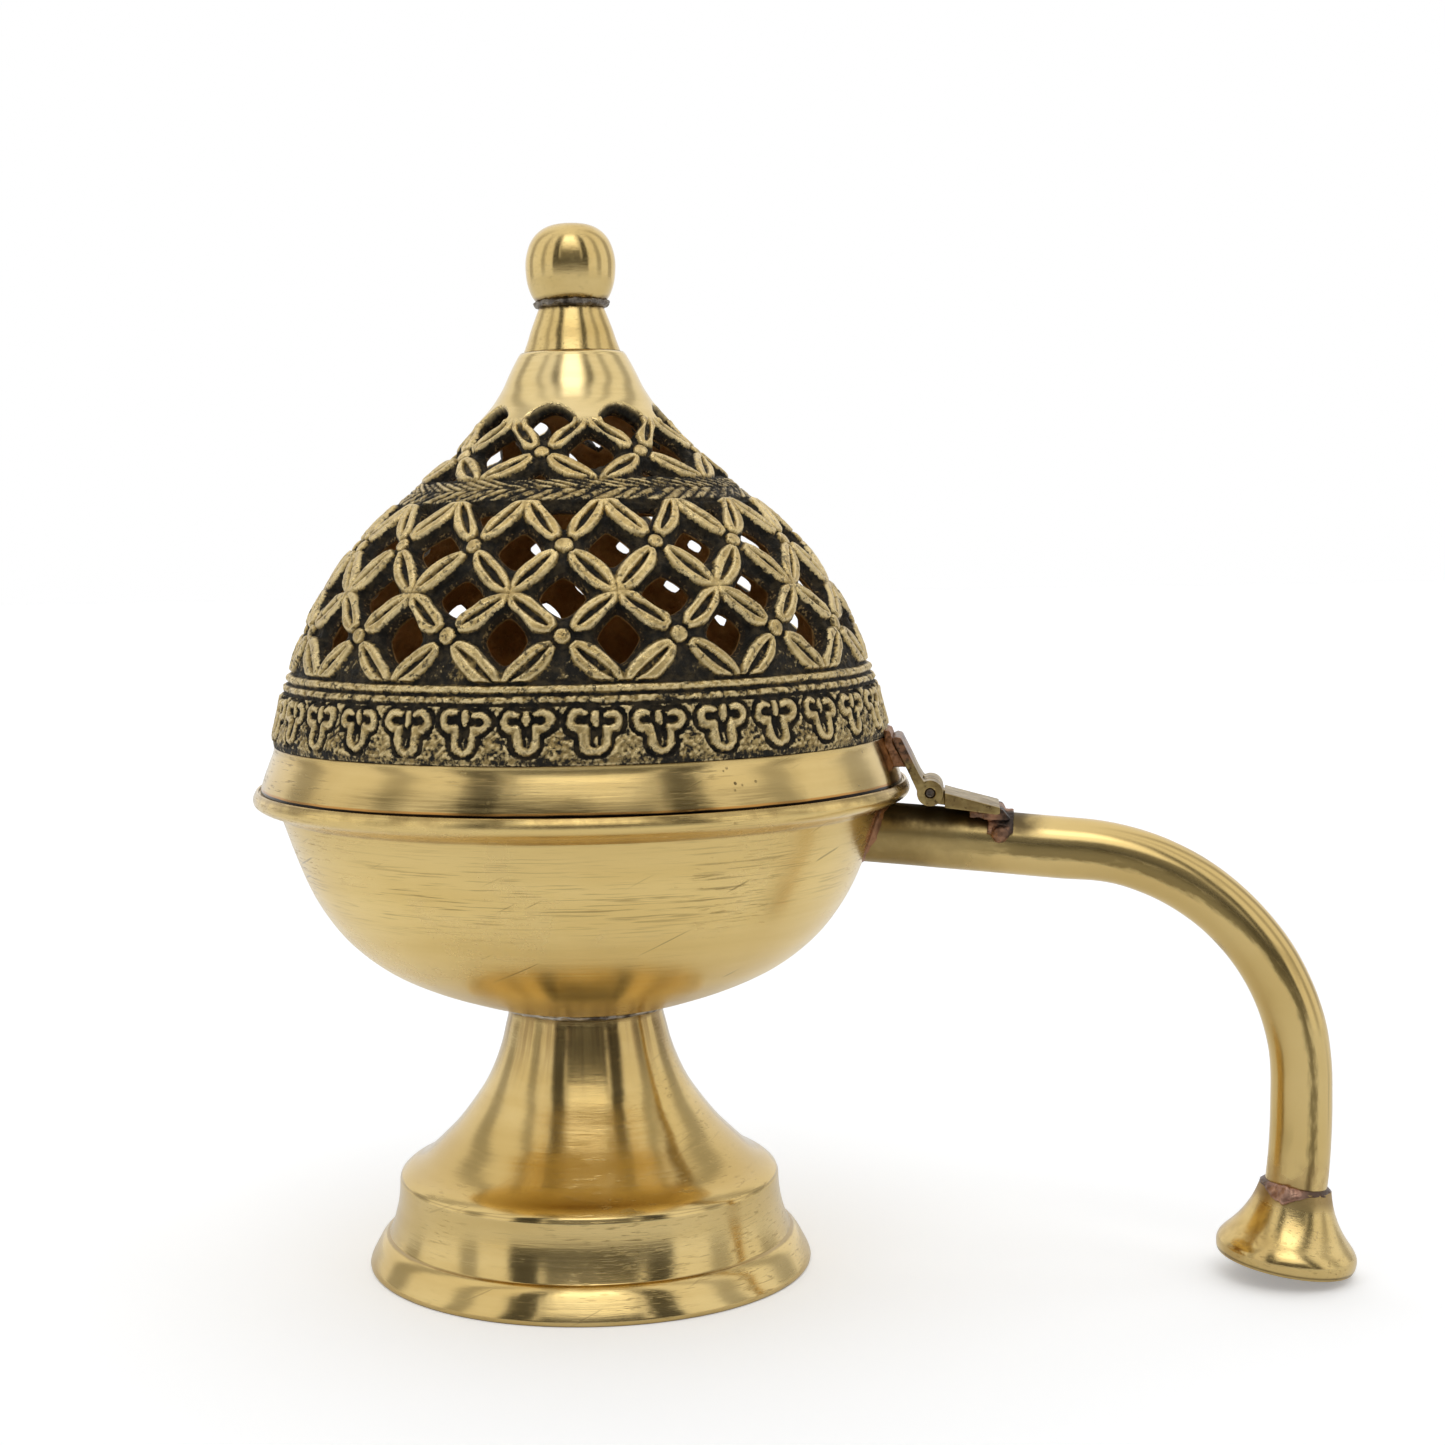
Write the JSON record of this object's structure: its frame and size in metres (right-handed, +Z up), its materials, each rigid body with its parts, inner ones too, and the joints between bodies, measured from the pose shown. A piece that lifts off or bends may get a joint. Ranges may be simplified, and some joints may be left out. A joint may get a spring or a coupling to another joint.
{
  "type": "handled incense censer",
  "caption": "Hand-held brass incense censer on a round hollow foot: deep bowl, pierced onion-dome lid on a pin hinge, and a bent tube handle ending in a flared bell.",
  "frame": {"origin": "centre of the foot's rim on the table", "axes": "+Z up, +X from the bowl towards the handle, +Y along the hinge pin (away from the side seen in the front view)"},
  "size_m": [0.1851, 0.1122, 0.1781],
  "materials": {
    "foot_brass": "turned and polished, fine lathe lines",
    "bowl_brass": "spun and polished, scratched",
    "handle_brass": "polished drawn tube, heat-darkened near the bowl",
    "bell_brass": "polished, darkened lip",
    "band_brass": "turned bright",
    "dome_brass": "antiqued casting: near-black in the recesses, rubbed bright on the high spots",
    "finial_brass": "turned and polished",
    "hinge_brass": "dull cast brass",
    "pin_steel": "dark, oxidised",
    "braze_copper": "copper-red filler, lumpy, heat-stained",
    "solder_tin": "dull grey soft solder",
    "pan_brass": "dull spun brass, sooted"
  },
  "bodies": {
    "base": {"foot": "foot_brass", "bowl": "bowl_brass", "bowl_foot_solder": "solder_tin", "handle_tube": "handle_brass", "handle_bell": "bell_brass", "handle_braze": "braze_copper", "bell_braze": "braze_copper", "handle_hinge_leaf": "hinge_brass", "hinge_leaf_braze": "braze_copper"},
    "lid": {"lid_band": "band_brass", "pierced_dome": "dome_brass", "finial_neck": "finial_brass", "finial_ball": "finial_brass", "finial_solder": "solder_tin", "lid_hinge_leaf": "hinge_brass", "lid_leaf_braze": "braze_copper", "hinge_pin": "pin_steel"},
    "pan": {"charcoal_pan": "pan_brass"}
  },
  "joints": [
    {"name": "lid_hinge", "type": "hinge", "parent": "base", "child": "lid", "pos_m": [0.0595, 0, 0.08175], "axis": [0, 1, 0], "range_deg": [0, 115]},
    {"name": "pan_lift", "type": "slide", "parent": "base", "child": "pan", "axis": [0, 0, 1], "range_m": [0, 0.025]}
  ]
}
